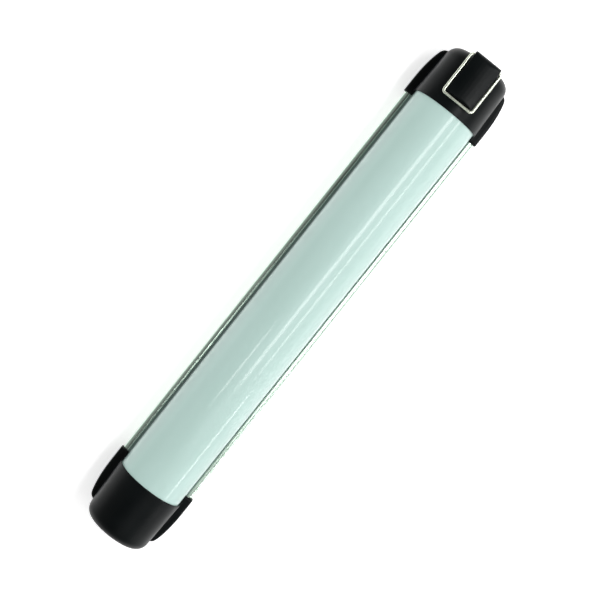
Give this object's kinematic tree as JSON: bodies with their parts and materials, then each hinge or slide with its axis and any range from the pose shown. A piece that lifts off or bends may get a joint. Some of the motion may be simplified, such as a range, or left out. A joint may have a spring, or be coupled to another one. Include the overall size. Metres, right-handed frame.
{
  "type": "led light tube",
  "caption": "Rechargeable hand-held LED light tube: half-round opal diffuser on an aluminium channel, black end caps, and a wire bail that swings out to hang it.",
  "frame": {"origin": "under the middle of the lamp, on the plane of the caps' flat backs", "axes": "+X along the tube towards the hook end, +Y across it, +Z out of the diffuser"},
  "size_m": [0.2876, 0.044, 0.038],
  "materials": {
    "aluminium": "satin extruded, clear anodised",
    "opal": "glossy opal polycarbonate",
    "black_plastic": "satin moulded",
    "soft_black": "soft-touch",
    "rubber": "matt",
    "wire": "bright drawn wire",
    "screw_steel": "zinc plated",
    "nickel": "nickel",
    "clear": "clear moulded",
    "board_white": "white solder mask",
    "board_green": "green solder mask",
    "led": "phosphor under clear resin",
    "cell_wrap": "heat-shrink sleeve",
    "component": "moulded",
    "red_lead": "insulation",
    "black_lead": "insulation"
  },
  "bodies": {
    "root": {"base_cap_screw_1": "screw_steel", "base_cap_screw_2": "screw_steel", "base_end_cap": "black_plastic", "base_end_gasket": "rubber", "base_extrusion": "aluminium", "battery_tab_minus": "nickel", "battery_tab_plus": "nickel", "board_standoff_1": "component", "board_standoff_2": "component", "cell_1": "cell_wrap", "cell_2": "cell_wrap", "cell_3": "cell_wrap", "cell_cradle": "component", "cell_link_1": "nickel", "cell_link_2": "nickel", "charge_socket": "nickel", "diffuser": "opal", "driver_board": "board_green", "driver_capacitor": "component", "driver_controller": "component", "driver_inductor": "component", "hook_cap_screw_1": "screw_steel", "hook_cap_screw_2": "screw_steel", "hook_end_cap": "black_plastic", "hook_end_gasket": "rubber", "hook_saddle": "black_plastic", "indicator_led": "led", "indicator_light_pipe": "clear", "lead_battery_minus": "black_lead", "lead_battery_plus": "red_lead", "lead_led_minus": "black_lead", "lead_led_plus": "red_lead", "lead_switch": "black_lead", "led_board": "board_white", "led_chip_01": "led", "led_chip_02": "led", "led_chip_03": "led", "led_chip_04": "led", "led_chip_05": "led", "led_chip_06": "led", "led_chip_07": "led", "led_chip_08": "led", "led_chip_09": "led", "led_chip_10": "led", "led_chip_11": "led", "led_chip_12": "led", "led_tray": "aluminium", "saddle_screw": "screw_steel", "switch_board": "board_green", "tact_switch": "component"},
    "bail": {"wire_bail": "wire"},
    "button": {"power_button": "soft_black"},
    "flap": {"charge_flap": "rubber"}
  },
  "joints": [
    {"name": "bail_swing", "type": "hinge", "parent": "root", "child": "bail", "pos_m": [0.1418, 0, 0.0353], "axis": [0, 1, 0], "range_deg": [0, 250]},
    {"name": "button_press", "type": "slide", "parent": "root", "child": "button", "axis": [1, 0, 0], "range_m": [0, 0.0008], "stiffness_N_per_m": 350},
    {"name": "flap_swing", "type": "hinge", "parent": "root", "child": "flap", "pos_m": [-0.1429, 0, 0.0126], "axis": [0, 1, 0], "range_deg": [0, 110]}
  ]
}
